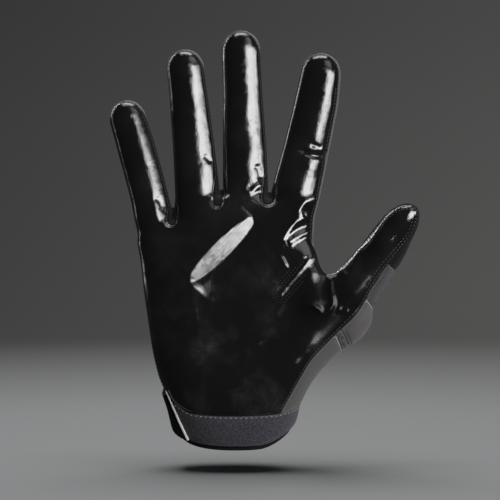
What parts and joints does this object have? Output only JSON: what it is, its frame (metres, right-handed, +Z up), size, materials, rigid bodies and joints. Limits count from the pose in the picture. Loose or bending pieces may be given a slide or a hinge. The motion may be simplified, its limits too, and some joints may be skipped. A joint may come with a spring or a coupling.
{
  "type": "football glove",
  "caption": "Right-hand football glove held open as worn: glossy coated palm and finger fronts, fabric back, panelled thumb, short knit cuff with a closing strap.",
  "frame": {"origin": "centre of the wrist opening, where the hand goes in, level with the middle of the cuff's slanted rim", "axes": "+Z up from the wrist to the fingertips, +X towards the thumb, -Y out of the palm and +Y out of the back of the hand"},
  "size_m": [0.1575, 0.048, 0.216],
  "materials": {
    "coated_palm": "glossy tacky coating on cloth",
    "black_fabric": "matte stretch weave",
    "grey_fabric": "matte stretch weave",
    "rib_knit": "ribbed knit",
    "heather_knit": "heathered mesh knit",
    "cuff_knit": "heathered padded knit",
    "white_piping": "satin"
  },
  "bodies": {
    "root": {"palm_panel": "coated_palm", "back_panel": "grey_fabric", "side_strip_ring_pinky": "black_fabric", "side_strip_middle_ring": "black_fabric", "side_strip_index_middle": "black_fabric", "thumb_tip_back": "black_fabric", "thumb_rib_band": "rib_knit", "thumb_knuckle_pad": "grey_fabric", "thumb_heather_insert": "heather_knit", "thumb_base_panel": "grey_fabric", "cuff_band": "cuff_knit", "cuff_lining": "black_fabric", "closing_strap": "black_fabric", "white_piping": "white_piping"}
  },
  "joints": []
}
